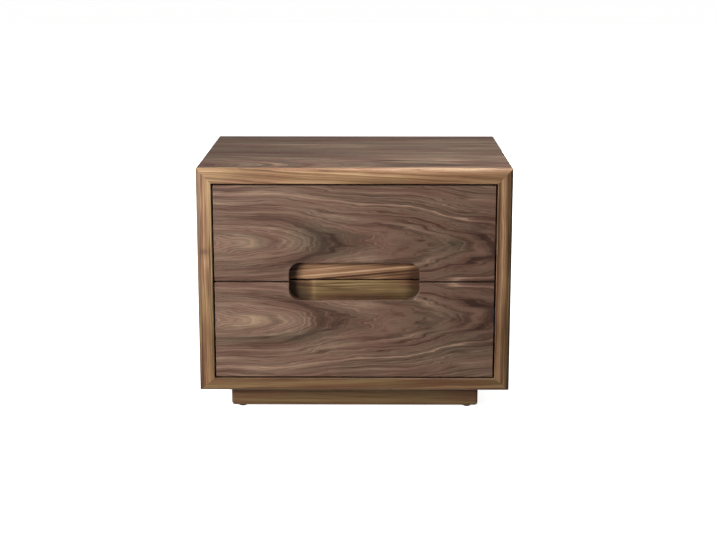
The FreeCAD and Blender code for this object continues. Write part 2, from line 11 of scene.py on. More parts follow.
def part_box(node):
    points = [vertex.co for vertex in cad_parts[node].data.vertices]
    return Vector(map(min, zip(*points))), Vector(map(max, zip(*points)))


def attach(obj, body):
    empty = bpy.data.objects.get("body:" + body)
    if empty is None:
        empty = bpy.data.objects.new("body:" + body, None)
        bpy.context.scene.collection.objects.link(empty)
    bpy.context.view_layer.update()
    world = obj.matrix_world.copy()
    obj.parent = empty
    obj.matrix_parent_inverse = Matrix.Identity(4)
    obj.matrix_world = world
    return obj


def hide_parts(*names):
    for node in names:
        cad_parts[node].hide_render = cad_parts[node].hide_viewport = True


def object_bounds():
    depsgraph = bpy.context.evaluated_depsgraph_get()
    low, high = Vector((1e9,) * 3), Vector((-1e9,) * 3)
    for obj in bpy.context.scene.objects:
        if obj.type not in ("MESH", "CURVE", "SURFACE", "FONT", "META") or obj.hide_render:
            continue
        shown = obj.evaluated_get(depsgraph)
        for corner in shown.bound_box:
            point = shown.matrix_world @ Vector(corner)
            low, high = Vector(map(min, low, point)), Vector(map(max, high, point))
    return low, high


bl_info = {
    "name": "Walnut nightstand",
    "version": (1, 0, 0),
    "blender": (4, 5, 0),
    "location": "3D Viewport > Sidebar > Nightstand",
    "description": "Finishes for a two-drawer nightstand in walnut, its drawer hardware and a plain studio",
    "category": "Object",
}

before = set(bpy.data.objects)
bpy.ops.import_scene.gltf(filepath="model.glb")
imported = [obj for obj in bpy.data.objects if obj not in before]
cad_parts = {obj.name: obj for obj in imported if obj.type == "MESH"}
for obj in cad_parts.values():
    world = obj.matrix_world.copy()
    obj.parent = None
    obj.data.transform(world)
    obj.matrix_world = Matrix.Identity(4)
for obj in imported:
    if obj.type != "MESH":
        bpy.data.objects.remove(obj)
CAD_BOX = [list(corner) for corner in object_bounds()]

LEFT, RIGHT = Vector((-1, 0, 0)), Vector((1, 0, 0))
FRONT, BACK = Vector((0, -1, 0)), Vector((0, 1, 0))
DOWN, UP = Vector((0, 0, -1)), Vector((0, 0, 1))
LEVELS = ("upper", "lower")
SIDES = ("left", "right")
NODE_STEP = 190


# Settings that a user would change

def tone(name, description, colour):
    """A colour as it looks on a screen."""
    return FloatVectorProperty(name=name, description=description, subtype="COLOR_GAMMA", size=3,
                               min=0, max=1, default=colour)


def length(name, description, metres):
    return FloatProperty(name=name, description=description, subtype="DISTANCE", unit="LENGTH",
                         min=0, default=metres)


def share(name, description, value, most=1.0):
    return FloatProperty(name=name, description=description, subtype="FACTOR", min=0, max=most,
                         default=value)


def power(name, description, watts):
    return FloatProperty(name=name, description=description, subtype="POWER", unit="POWER", min=0,
                         default=watts)


TONE_NAMES = ("darkest", "dark", "middle", "light", "lightest")
TONE_USES = ("Thin late-wood lines", "Dark bands", "Most of the wood", "Light bands", "Thin pale streaks")
TONE_PLACES = (0.05, 0.33, 0.55, 0.75, 1.0)


def wood_settings(warm, cool, roughness, shine):
    """Five warm tones of a wood and five cool ones, both from dark to light, and its lacquer's finish."""
    fields = {}
    for family, colours in (("warm", warm), ("cool", cool)):
        for name, use, colour in zip(TONE_NAMES, TONE_USES, colours):
            fields[f"{family}_{name}"] = tone(f"{family.capitalize()}, {name}", use, colour)
    fields["roughness"] = share("Roughness", "Roughness of the lacquer", roughness)
    fields["shine"] = share("Shine", "Strength of the lacquer's reflection", shine)
    return fields


class VeneerTones(bpy.types.PropertyGroup):
    """Colours and finish of the walnut veneer: reddish brown, and olive where it is cool."""
    __annotations__ = wood_settings(
        warm=((0.235, 0.155, 0.12), (0.38, 0.275, 0.225), (0.48, 0.365, 0.308),
              (0.58, 0.46, 0.39), (0.7, 0.585, 0.5)),
        cool=((0.215, 0.163, 0.12), (0.34, 0.275, 0.22), (0.445, 0.365, 0.3),
              (0.575, 0.47, 0.38), (0.7, 0.59, 0.485)),
        roughness=0.42, shine=0.35)


class SolidTones(bpy.types.PropertyGroup):
    """Colours and finish of the solid walnut: orange tan, and yellowish where it is cool."""
    __annotations__ = wood_settings(
        warm=((0.27, 0.165, 0.095), (0.43, 0.3, 0.2), (0.555, 0.408, 0.29),
              (0.66, 0.503, 0.375), (0.79, 0.655, 0.52)),
        cool=((0.25, 0.18, 0.1), (0.4, 0.31, 0.19), (0.53, 0.425, 0.28),
              (0.65, 0.53, 0.37), (0.77, 0.66, 0.49)),
        roughness=0.42, shine=0.5)


class BoxTones(bpy.types.PropertyGroup):
    """Colours and finish of the pale woods inside: creamy, and greyish where they are cool."""
    __annotations__ = wood_settings(
        warm=((0.58, 0.44, 0.29), (0.72, 0.59, 0.42), (0.79, 0.67, 0.5),
              (0.84, 0.74, 0.58), (0.89, 0.82, 0.69)),
        cool=((0.55, 0.44, 0.31), (0.7, 0.59, 0.44), (0.77, 0.68, 0.53),
              (0.83, 0.75, 0.61), (0.88, 0.82, 0.71)),
        roughness=0.45, shine=0.35)
    ply_layer: length("Ply layer", "Thickness of one layer of the plywood", 0.0015)


class Hardware(bpy.types.PropertyGroup):
    """Metals and plastics of the slides, screws and glides, and the screws' sizes."""
    zinc: tone("Zinc", "Plated steel of the rails", (0.72, 0.74, 0.76))
    screw: tone("Screws", "Plated steel of the screws", (0.74, 0.7, 0.58))
    steel: tone("Balls", "Polished steel of the balls", (0.86, 0.86, 0.88))
    plastic: tone("Plastic", "Moulded plastic of the cages and glides", (0.09, 0.09, 0.095))
    metal_roughness: share("Metal roughness", "Roughness of the plated steel", 0.34)
    plating: share("Plating gloss", "How metallic the chalky zinc plating is", 0.7)
    ball_roughness: share("Ball roughness", "Roughness of the polished steel", 0.12)
    plastic_roughness: share("Plastic roughness", "Roughness of the moulded plastic", 0.55)
    head_radius: length("Head radius", "Radius of a screw's countersunk head", 0.0034)
    head_height: length("Head height", "Height of a screw's countersunk head", 0.002)
    core_radius: length("Core radius", "Radius of a screw's shank inside its thread", 0.00142)
    tip_length: length("Tip length", "Length of a screw's point", 0.003)
    thread_pitch: length("Thread pitch", "Distance between two turns of a screw's thread", 0.0016)
    thread_depth: length("Thread depth", "How far a thread stands out of its shank", 0.00032)
    recess_span: length("Recess span", "Length of each arm of the cross in a screw's head", 0.0036)
    recess_width: length("Recess width", "Width of each arm of the cross", 0.0008)
    recess_depth: length("Recess depth", "Depth of the cross", 0.0013)
    ball_segments: IntProperty(name="Ball segments", description="Faces round each ball", min=8,
                               default=20)


class Studio(bpy.types.PropertyGroup):
    """The floor, the backdrop, the lights and the camera."""
    floor_colour: tone("Floor", "Pale floor and backdrop", (0.97, 0.968, 0.965))
    key_power: power("Key light", "Soft light at the left of the front", 24.0)
    top_power: power("Top light", "Soft light overhead, to the right", 6.1)
    side_power: power("Side light", "Soft light at the right", 22.0)
    back_power: power("Back light", "Soft light low behind the nightstand", 50.0)
    sky: share("Sky", "Strength of the even light from overhead", 0.6, 4.0)
    sides: share("Sides", "Strength of the even light from all round", 0.07, 4.0)
    bounce: share("Bounce", "Strength of the even light from below", 0.3, 4.0)
    glow: share("Floor glow", "How far the floor and the backdrop shine by themselves", 0.78, 4.0)
    lens: FloatProperty(name="Lens", description="Focal length on a sensor 36 mm wide",
                        subtype="DISTANCE_CAMERA", min=1, default=69.35)
    shift: FloatProperty(name="Shift", description="Upward shift of the lens that the framing needs",
                         default=-0.07)


def settings(group):
    return getattr(bpy.context.scene, "nightstand_" + group)


def linear(colour):
    """A screen colour as the light that a shader works with, with full opacity."""
    low_end, slope, offset, gamma = 0.04045, 12.92, 0.055, 2.4
    channels = [c / slope if c <= low_end else ((c + offset) / (1 + offset)) ** gamma for c in colour]
    return (*channels, 1)


# Node trees

class Tree:
    """Adds nodes to one tree, each to the right of the last, and feeds their sockets."""

    def __init__(self, tree):
        self.tree = tree
        self.count = 0

    def add(self, kind, inputs=None, **options):
        node = self.tree.nodes.new(kind)
        node.location = (NODE_STEP * self.count, 0)
        self.count += 1
        for name, value in options.items():
            setattr(node, name, value)
        for key, value in (inputs or {}).items():
            self.feed(node.inputs[key], value)
        return node

    def made(self, kind, inputs=None, output=0, **options):
        """One output of a new node."""
        return self.add(kind, inputs, **options).outputs[output]

    def feed(self, socket, value):
        if isinstance(value, bpy.types.NodeSocket):
            self.tree.links.new(value, socket)
        else:
            socket.default_value = value

    def math(self, operation, *values, clamp=False):
        """One step of arithmetic."""
        return self.made("ShaderNodeMath", dict(enumerate(values)), operation=operation, use_clamp=clamp)

    def times(self, first, second):
        return self.math("MULTIPLY", first, second)

    def minus(self, first, second):
        return self.math("SUBTRACT", first, second)

    def over(self, first, second):
        return self.math("DIVIDE", first, second)

    def total(self, *values):
        """A sum of two or more values."""
        result = values[0]
        for value in values[1:]:
            result = self.math("ADD", result, value)
        return result

    def squares(self, first, second):
        """The sum of two squares."""
        return self.total(self.math("POWER", first, 2), self.math("POWER", second, 2))

    def swing(self, value, amount):
        """A value from 0 to 1 as an even swing about zero, this far each way."""
        return self.times(self.minus(value, 0.5), 2 * amount)

    def vector(self, x, y, z):
        return self.made("ShaderNodeCombineXYZ", {0: x, 1: y, 2: z})

    def speckle(self, scale, detail=2.0):
        """Noise from 0 to 1 with this many features to a metre of the piece."""
        coordinates = self.made("ShaderNodeTexCoord", output="Object")
        return self.made("ShaderNodeTexNoise", {"Vector": coordinates, "Scale": scale, "Detail": detail})

    def rise(self, value, low, high):
        """0 below the first bound, 1 above the second, with a smooth step between."""
        return self.made("ShaderNodeMapRange", {0: value, 1: low, 2: high, 3: 0.0, 4: 1.0},
                         interpolation_type="SMOOTHSTEP")

    def curve(self, value, points):
        """A smooth line through a few points, as a value for each share from 0 to 1."""
        node = self.add("ShaderNodeFloatCurve", {"Value": value})
        line = node.mapping.curves[0]
        for place, height in points[1:-1]:
            line.points.new(place, height)
        for point, (place, height) in zip(line.points, points):
            point.location = (place, height)
        node.mapping.update()
        return node.outputs[0]

    def ramp(self, value, stops):
        """A colour for each share from 0 to 1, from a few (share, colour) stops."""
        node = self.add("ShaderNodeValToRGB", {0: value})
        elements = node.color_ramp.elements
        while len(elements) < len(stops):
            elements.new(1.0)
        for element, (place, colour) in zip(elements, stops):
            element.position = place
            element.color = colour
        return node.outputs[0]

    def blend(self, amount, first, second):
        """Two colours mixed."""
        return self.made("ShaderNodeMix", {0: amount, 6: first, 7: second}, data_type="RGBA", output=2)

    def scaled(self, colour, amount):
        """A colour made lighter or darker by a factor."""
        return self.made("ShaderNodeVectorMath", {0: colour, "Scale": amount}, operation="SCALE")


def new_geometry(name, sizes):
    """An empty geometry tree with a named input for each size, and the outputs of its input's node."""
    group = bpy.data.node_groups.new(name, "GeometryNodeTree")
    group.interface.new_socket("Geometry", in_out="INPUT", socket_type="NodeSocketGeometry")
    for size, kind in sizes.items():
        group.interface.new_socket(size, in_out="INPUT", socket_type="NodeSocket" + kind)
    group.interface.new_socket("Geometry", in_out="OUTPUT", socket_type="NodeSocketGeometry")
    tree = Tree(group)
    return tree, tree.add("NodeGroupInput").outputs


def new_material(name):
    """An empty material, its tree and its shader's node."""
    material = bpy.data.materials.new(name)
    material.use_nodes = True
    material.node_tree.nodes.clear()
    tree = Tree(material.node_tree)
    shader = tree.add("ShaderNodeBsdfPrincipled")
    tree.add("ShaderNodeOutputMaterial", {0: shader.outputs[0]})
    return material, tree, shader


def finish(tree, shader, colour, roughness, relief, strength, depth):
    """Feeds a shader its colour, its roughness and its fine relief."""
    bump = tree.made("ShaderNodeBump", {"Strength": strength, "Distance": depth, "Height": relief})
    for name, value in (("Base Color", colour), ("Roughness", roughness), ("Normal", bump)):
        tree.feed(shader.inputs[name], value)


def dress(node, material):
    """Gives a node of the frame its material."""
    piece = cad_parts[node]
    piece.data.materials.clear()
    piece.data.materials.append(material)


def link_mesh(name, mesh):
    piece = bpy.data.objects.new(name, mesh)
    bpy.context.scene.collection.objects.link(piece)
    return piece


def grain_axes(tree, origin, along, across):
    """Distances from an origin along the grain, across it and out of the board's face."""
    out = along.cross(across)
    turn = Matrix((along, across, out)).transposed().to_euler()
    coordinates = tree.made("ShaderNodeTexCoord", output="Object")
    mapped = tree.made("ShaderNodeMapping", {"Vector": coordinates, "Location": origin, "Rotation": turn},
                       vector_type="TEXTURE")
    return tree.add("ShaderNodeSeparateXYZ", {0: mapped}).outputs


# Wood

def sloped(start, end):
    """Points of a curve that goes straight from one value to another."""
    return (0, start), (1, end)


def even(value):
    """Points of a curve that keeps one value."""
    return sloped(value, value)


class Cut(NamedTuple):
    """How a board was sawn from its tree, as distances in metres.

    heart and depth are points (share of the length, metres): how far the tree's heart lies across the
    board, and how far behind its face. Rings are drawn at equal distances from that line, so the figure
    points along the board wherever the depth changes. zones are points (share of ZONE_REACH from the
    heart, tone), where a tone goes from 0, dark, to 1, light. swells lift or sink the rings about a spot,
    patches make it darker or lighter, tints make it more olive and calms even out its streaks: each is
    (along, across, half length, half width, amount). line_width and line_length are the size of the
    streaks, wander is how far the rings stray, and contrast, fibre and olive are the strength of the
    streaks, of the fine fibres and of the cool tones. The seed picks the streaks."""
    heart: tuple = even(0.3)
    depth: tuple = even(0.1)
    zones: tuple = even(0.48)
    swells: tuple = ()
    patches: tuple = ()
    tints: tuple = ()
    calms: tuple = ()
    line_width: float = 0.006
    line_length: float = 0.3
    contrast: float = 0.3
    fibre: float = 0.2
    wander: float = 0.003
    olive: float = 0.4
    seed: float = 0.0


ZONE_REACH = 0.2
WANDER, RIPPLE, FEATHER = (0.16, 0.045, 1.0), (0.065, 0.01, 0.65), (0.05, 0.0019, 0.08)
BROAD_LINES, FINE_LINES, VEIN_LINES, PALE_LINES = 2.8, 0.42, 1.5, 1.15
VEIN_WIDTH, PALE_WIDTH = 0.035, 0.03
FIBRE_LENGTH, FIBRE_WIDTH = 0.08, 0.0012
PORE_LENGTH, PORE_WIDTH, PORE_EDGES, PORE_DEPTH = 0.009, 0.00042, (0.62, 0.74), 0.8
CLOUD_LENGTH, CLOUD_WIDTH = 0.12, 0.03
VEIN_SHARE, PALE_SHARE, CLOUD_SHARE = 0.5, 0.22, 0.6
OLIVE_BANDS, OLIVE_EDGES = 0.5, (0.4, 0.6)
LOW_DETAIL, HIGH_DETAIL, ROUGH_NOISE = 1, 3, 0.6
FIBRE_GLOSS, PORE_GLOSS, FIBRE_RELIEF, WOOD_RELIEF, WOOD_DEPTH = 0.06, 0.12, 0.5, 0.25, 0.00008
CROSS_PLY_SHADE, GLUE_SHADE, GLUE_LINE, PLY_FIBRES, FACE_PLY = 0.28, 0.3, 0.25, 0.25, 0.0003


def near(tree, axes, place):
    """1 at a spot of the board's face, falling smoothly to 0 about its half length and half width."""
    x, y, half_length, half_width = place
    along = tree.over(tree.minus(axes[0], x), half_length)
    across = tree.over(tree.minus(axes[1], y), half_width)
    return tree.math("EXPONENT", tree.times(tree.squares(along, across), -1))


def spotted(tree, axes, value, spots):
    """A value that changes at each spot by the spot's own amount."""
    for *place, amount in spots:
        value = tree.math("MULTIPLY_ADD", near(tree, axes, place), amount, value)
    return value


def grained(tree, axes, along, across, seed=0.0, detail=2.0, roughness=0.5):
    """Noise from 0 to 1 whose features are this long and this wide."""
    place = tree.vector(tree.math("MULTIPLY_ADD", axes[0], 1 / along, seed), tree.over(axes[1], across),
                        tree.over(axes[2], across))
    return tree.made("ShaderNodeTexNoise", {"Vector": place, "Scale": 1.0, "Detail": detail,
                                            "Roughness": roughness})


def ring_distance(tree, axes, board_length, cut):
    """How far each point lies from the heart of its tree, with the wood's own wandering."""
    place = tree.over(axes[0], board_length)
    sideways = tree.minus(axes[1], tree.curve(place, cut.heart))
    deep = tree.minus(tree.curve(place, cut.depth), axes[2])
    rings = tree.math("SQRT", tree.squares(sideways, deep))
    for along, across, part in (WANDER, RIPPLE, FEATHER):
        stray = grained(tree, axes, along, across, cut.seed)
        rings = tree.total(rings, tree.swing(stray, cut.wander * part))
    return spotted(tree, axes, rings, cut.swells)


def sawn_wood(name, tones, origin, along, across, board_length, cut, half_thickness=None):
    """A lacquered board with its rings, streaks, fibres and pores, and with layers on a plywood's edges."""
    material, tree, shader = new_material(name)
    axes = grain_axes(tree, origin, along, across)
    rings = ring_distance(tree, axes, board_length, cut)

    def streaks(width, detail=2.0):
        """Lines of this width that follow the rings and end after a while."""
        followed = (axes[0], rings, axes[2])
        return grained(tree, followed, cut.line_length, width, cut.seed, detail, ROUGH_NOISE)

    def thin_lines(spacing, width):
        """1 on thin lines along the rings, and 0 between them."""
        return tree.rise(tree.math("ABSOLUTE", tree.minus(streaks(spacing, LOW_DETAIL), 0.5)), width, 0.0)

    broad = streaks(cut.line_width * BROAD_LINES)
    lines = streaks(cut.line_width, HIGH_DETAIL)
    fine = streaks(cut.line_width * FINE_LINES)
    veins = thin_lines(cut.line_width * VEIN_LINES, VEIN_WIDTH)
    pale = thin_lines(cut.line_width * PALE_LINES, PALE_WIDTH)
    fibres = grained(tree, axes, FIBRE_LENGTH, FIBRE_WIDTH, detail=HIGH_DETAIL, roughness=ROUGH_NOISE)
    pits = tree.rise(grained(tree, axes, PORE_LENGTH, PORE_WIDTH, detail=LOW_DETAIL), *PORE_EDGES)
    cloud = grained(tree, axes, CLOUD_LENGTH, CLOUD_WIDTH, cut.seed, HIGH_DETAIL)

    figure = tree.total(
        tree.swing(broad, cut.contrast), tree.swing(lines, cut.contrast), tree.swing(fine, cut.contrast),
        tree.swing(cloud, cut.contrast * CLOUD_SHARE), tree.times(veins, -cut.contrast * VEIN_SHARE),
        tree.times(pale, cut.contrast * PALE_SHARE))
    for *place, calm in cut.calms:
        figure = tree.times(figure, tree.math("MULTIPLY_ADD", near(tree, axes, place), -calm, 1.0))
    level = tree.total(tree.curve(tree.over(rings, ZONE_REACH), cut.zones), figure,
                       tree.swing(fibres, cut.fibre), tree.times(pits, -cut.fibre * PORE_DEPTH))
    level = spotted(tree, axes, level, cut.patches)
    olive = tree.rise(tree.total(cloud, tree.swing(broad, OLIVE_BANDS)), *OLIVE_EDGES)
    olive = spotted(tree, axes, tree.times(olive, 2 * cut.olive), cut.tints)
    warm, cool = (tree.ramp(level, tone_stops(tones, family)) for family in ("warm", "cool"))
    colour = tree.blend(tree.math("MULTIPLY", olive, 1.0, clamp=True), warm, cool)
    if half_thickness:
        colour = tree.scaled(colour, layers(tree, axes[2], half_thickness, tones.ply_layer, fibres))
    roughness = tree.total(tones.roughness, tree.swing(fibres, FIBRE_GLOSS), tree.times(pits, PORE_GLOSS))
    relief = tree.total(tree.times(fibres, FIBRE_RELIEF), tree.times(pits, -1), lines)
    finish(tree, shader, colour, roughness, relief, WOOD_RELIEF, WOOD_DEPTH)
    shader.inputs["Specular IOR Level"].default_value = tones.shine
    return material


def layers(tree, out, half_thickness, layer, fibres):
    """How light each layer is on the edge of a plywood board, with thin glue lines; 1 on its faces."""
    inside = tree.minus(half_thickness, tree.math("ABSOLUTE", out))
    turn = tree.over(tree.math("ADD", out, half_thickness), 2 * layer)
    wave = tree.math("SINE", tree.times(turn, 2 * math.pi))
    crosswise = tree.rise(wave, -GLUE_LINE, GLUE_LINE)
    glue = tree.rise(tree.math("ABSOLUTE", wave), GLUE_LINE, 0.0)
    light = tree.total(1.0, tree.times(crosswise, -CROSS_PLY_SHADE), tree.times(glue, -GLUE_SHADE),
                       tree.times(tree.swing(fibres, PLY_FIBRES), crosswise))
    on_edge = tree.rise(inside, 0.0, FACE_PLY)
    return tree.total(1.0, tree.times(on_edge, tree.minus(light, 1.0)))


def tone_stops(tones, family):
    """The five colours of a wood, from its darkest line to its lightest streak."""
    colours = [linear(getattr(tones, f"{family}_{name}")) for name in TONE_NAMES]
    return list(zip(TONE_PLACES, colours))


def dress_boards(tones, boards, plywood=False):
    """Dresses boards given as {node: (way of the grain, way across it, cut)}."""
    for node, (along, across, cut) in boards.items():
        low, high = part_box(node)
        span = abs((high - low).dot(along))
        origin = (low + high) / 2 - along * span / 2
        half_thickness = abs((high - low).dot(along.cross(across))) / 2 if plywood else None
        dress(node, sawn_wood("wood_" + node, tones, origin, along, across, span, cut, half_thickness))


# Drawer fronts

FRONT_CUT = dict(
    line_width=0.0042, line_length=0.35, contrast=0.37, fibre=0.17, wander=0.006, olive=0.3,
    heart=((0, 0.07), (0.5, 0.071), (0.68, 0.068), (0.826, 0.062), (1, 0.06)),
    depth=((0, 0.006), (0.165, 0.019), (0.3, 0.031), (0.365, 0.0405), (0.46, 0.049), (0.61, 0.0545),
           (0.68, 0.0565), (0.76, 0.061), (0.826, 0.0672), (0.97, 0.0743), (1, 0.0755)),
    zones=((0, 0.53), (0.075, 0.56), (0.1, 0.48), (0.12, 0.54), (0.16, 0.5), (0.18, 0.42), (0.22, 0.37),
           (0.24, 0.36), (0.268, 0.45), (0.3, 0.47), (0.33, 0.45), (0.37, 0.46), (0.4, 0.47), (0.432, 0.45),
           (0.441, 0.66), (0.447, 0.7), (0.457, 0.43), (0.48, 0.42), (0.55, 0.5), (0.63, 0.45), (0.7, 0.5),
           (0.85, 0.44), (1, 0.47)),
    swells=((0.405, 0.072, 0.05, 0.018, -0.006), (0.32, 0.075, 0.03, 0.012, 0.004)),
)
FRONT_SPOTS = {
    "upper": dict(
        patches=((0.25, 0.09, 0.6, 0.3, -0.045), (0.064, 0.07, 0.026, 0.012, 0.12),
                 (0.17, 0.072, 0.035, 0.022, -0.06), (0.255, 0.08, 0.03, 0.014, -0.05),
                 (0.341, 0.069, 0.014, 0.009, -0.1), (0.431, 0.069, 0.013, 0.009, -0.17),
                 (0.485, 0.055, 0.018, 0.03, 0.1), (0.494, 0.079, 0.014, 0.012, 0.14),
                 (0.467, 0.036, 0.025, 0.007, 0.13), (0.466, 0.097, 0.011, 0.007, -0.12)),
        calms=((0.08, 0.07, 0.06, 0.02, 0.7), (0.41, 0.068, 0.035, 0.024, 0.5)),
        tints=((0.064, 0.07, 0.03, 0.014, 0.9), (0.18, 0.072, 0.045, 0.026, 0.9),
               (0.431, 0.069, 0.02, 0.012, 0.8))),
    "lower": dict(
        seed=0.04,
        patches=((0.075, 0.07, 0.036, 0.014, 0.12), (0.17, 0.066, 0.035, 0.02, -0.04),
                 (0.255, 0.085, 0.03, 0.014, -0.05), (0.383, 0.088, 0.014, 0.009, -0.14),
                 (0.437, 0.069, 0.013, 0.01, -0.16), (0.483, 0.076, 0.02, 0.014, 0.12),
                 (0.083, 0.071, 0.034, 0.015, 0.1), (0.06, 0.104, 0.09, 0.0045, -0.14),
                 (0.06, 0.006, 0.08, 0.01, 0.08)),
        calms=((0.085, 0.07, 0.06, 0.022, 0.7), (0.41, 0.072, 0.035, 0.024, 0.5)),
        tints=((0.082, 0.07, 0.045, 0.014, 0.9), (0.15, 0.1, 0.06, 0.01, 0.7),
               (0.46, 0.12, 0.08, 0.02, 0.6), (0.05, 0.107, 0.08, 0.007, 0.7))),
}


class NIGHTSTAND_OT_drawer_fronts(bpy.types.Operator):
    """Book-matched veneer on the two drawer fronts, whose figures mirror each other"""
    bl_idname = "nightstand.drawer_fronts"
    bl_label = "Drawer fronts"

    def execute(self, context):
        tones = settings("veneer")
        lower_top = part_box("lower_drawer_front")[1].z
        upper_low, upper_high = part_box("upper_drawer_front")
        line = Vector((upper_low.x, upper_low.y, (lower_top + upper_low.z) / 2))
        span = upper_high.x - upper_low.x
        for level, across in (("upper", UP), ("lower", DOWN)):
            cut = Cut(**FRONT_CUT, **FRONT_SPOTS[level])
            name = level + "_drawer_front"
            dress(name, sawn_wood("veneer_" + name, tones, line, RIGHT, across, span, cut))
        return {"FINISHED"}


TOP_SEAM = 0.011


class NIGHTSTAND_OT_case_veneer(bpy.types.Operator):
    """Veneer on the four boards of the case, with the grain round the case"""
    bl_idname = "nightstand.case_veneer"
    bl_label = "Case boards"

    def execute(self, context):
        low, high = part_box("top_panel")
        front_edge = (high - low).y / 2
        flat = dict(line_width=0.01, line_length=0.5, fibre=0.3, wander=0.005, olive=0.8)
        plain = dict(contrast=0.29, **flat)
        dress_boards(settings("veneer"), {
            "top_panel": (RIGHT, FRONT, Cut(
                heart=even(0.17), depth=((0, 0.01), (0.3, 0.06), (1, 0.09)), contrast=0.4,
                # Along the front edge a dark seam where the lipping meets the veneer, then a painted
                # highlight; a painted pool of light at the front right and painted shade at the back
                patches=((0.1, front_edge, 0.13, TOP_SEAM, -0.22), (0.37, front_edge, 0.2, 0.02, 0.22),
                         (0.37, 0.12, 0.24, 0.045, 0.17), (0.3, -0.19, 0.4, 0.06, -0.04)), **flat)),
            "bottom_panel": (RIGHT, BACK, Cut(
                heart=sloped(0.1, 0.06), depth=sloped(0.03, 0.09), seed=3.1, **plain)),
            "left_side_panel": (UP, FRONT, Cut(
                heart=sloped(0.03, 0.06), depth=sloped(0.02, 0.08), seed=5.7, **plain)),
            "right_side_panel": (UP, BACK, Cut(
                heart=sloped(0.05, 0.02), depth=sloped(0.09, 0.015), seed=8.3, **plain)),
        })
        return {"FINISHED"}


LEFT_ZONES = ((0, 0.05), (0.588, 0.12), (0.61, 0.4), (0.635, 0.66), (1, 0.64))
RIGHT_ZONES = ((0, 0.12), (0.6, 0.14), (0.615, 0.2), (0.645, 0.4), (0.67, 0.44), (0.7, 0.52), (1, 0.52))
# Top lipping: painted highlight along its upper part under the rounded arris, painted shade along its lower
# part, and darker towards the left
TOP_LIP_SHADE_AND_HIGHLIGHT = ((0.4, -0.012, 0.2, 0.01, -0.24), (0.1, -0.002, 0.1, 0.006, -0.16),
               (0.08, -0.004, 0.1, 0.02, -0.1), (0.34, 0.005, 0.14, 0.004, 0.17),
               (0.34, -0.006, 0.14, 0.004, -0.1), (0.41, 0.011, 0.15, 0.005, 0.31))
# Bottom lipping: painted shade along its upper edge, and a painted band of light, as from the floor, along
# its lower arris
BOTTOM_LIP_SHADE_AND_LIGHT = ((0.28, 0.01, 0.6, 0.008, -0.13), (0.28, -0.0115, 0.6, 0.003, 0.25))
# Left lipping: darker towards the bottom, a painted highlight along the inner arris near the top, and small
# light and dark spots
LEFT_PATCHES = ((0.08, -0.004, 0.12, 0.012, -0.15), (0.37, -0.009, 0.09, 0.006, 0.12),
                (0.238, -0.003, 0.012, 0.005, 0.2), (0.257, 0.001, 0.005, 0.007, -0.2),
                (0.342, 0.004, 0.02, 0.005, 0.14))


class NIGHTSTAND_OT_lippings(bpy.types.Operator):
    """Solid walnut lippings, mitred round the front of the case"""
    bl_idname = "nightstand.lippings"
    bl_label = "Lippings"

    def execute(self, context):
        plain = dict(line_length=0.8, line_width=0.005, fibre=0.06)
        edge = dict(heart=sloped(0.12, 0.122), depth=even(0.05), contrast=0.58, **plain)
        dress_boards(settings("solid"), {
            "top_lipping": (RIGHT, UP, Cut(
                heart=sloped(0.14, 0.11), zones=even(0.65), patches=TOP_LIP_SHADE_AND_HIGHLIGHT, contrast=0.34,
                olive=0.25, seed=1.3, **plain)),
            "bottom_lipping": (RIGHT, UP, Cut(
                heart=sloped(0.1, 0.12), zones=even(0.43), patches=BOTTOM_LIP_SHADE_AND_LIGHT, seed=2.9, **plain)),
            "left_lipping": (UP, LEFT, Cut(
                zones=LEFT_ZONES, patches=LEFT_PATCHES, tints=((0.2, -0.012, 1, 0.008, 0.7),), olive=0.8,
                seed=4.4, **edge)),
            "right_lipping": (UP, RIGHT, Cut(
                zones=RIGHT_ZONES, patches=((0.08, 0, 0.08, 0.008, -0.14),),
                tints=((0.2, 0.013, 1, 0.007, 1.0),), olive=0.1, seed=6.8, **edge)),
        })
        return {"FINISHED"}


# Spots of painted shade and light on the boards in the cut-out. How far each spot lies to one side of its
# board's middle, and from the edge next to the other drawer
PULL_END, SHADED_CORNER, DIM_LEFT, GLINT, DIM_RIGHT = 0.112, 0.1, 0.088, 0.073, 0.066
EDGE_SHADOW, CORNER_RISE, LIT_HEAD, DIM_FOOT = 0.0275, 0.003, 0.006, 0.031


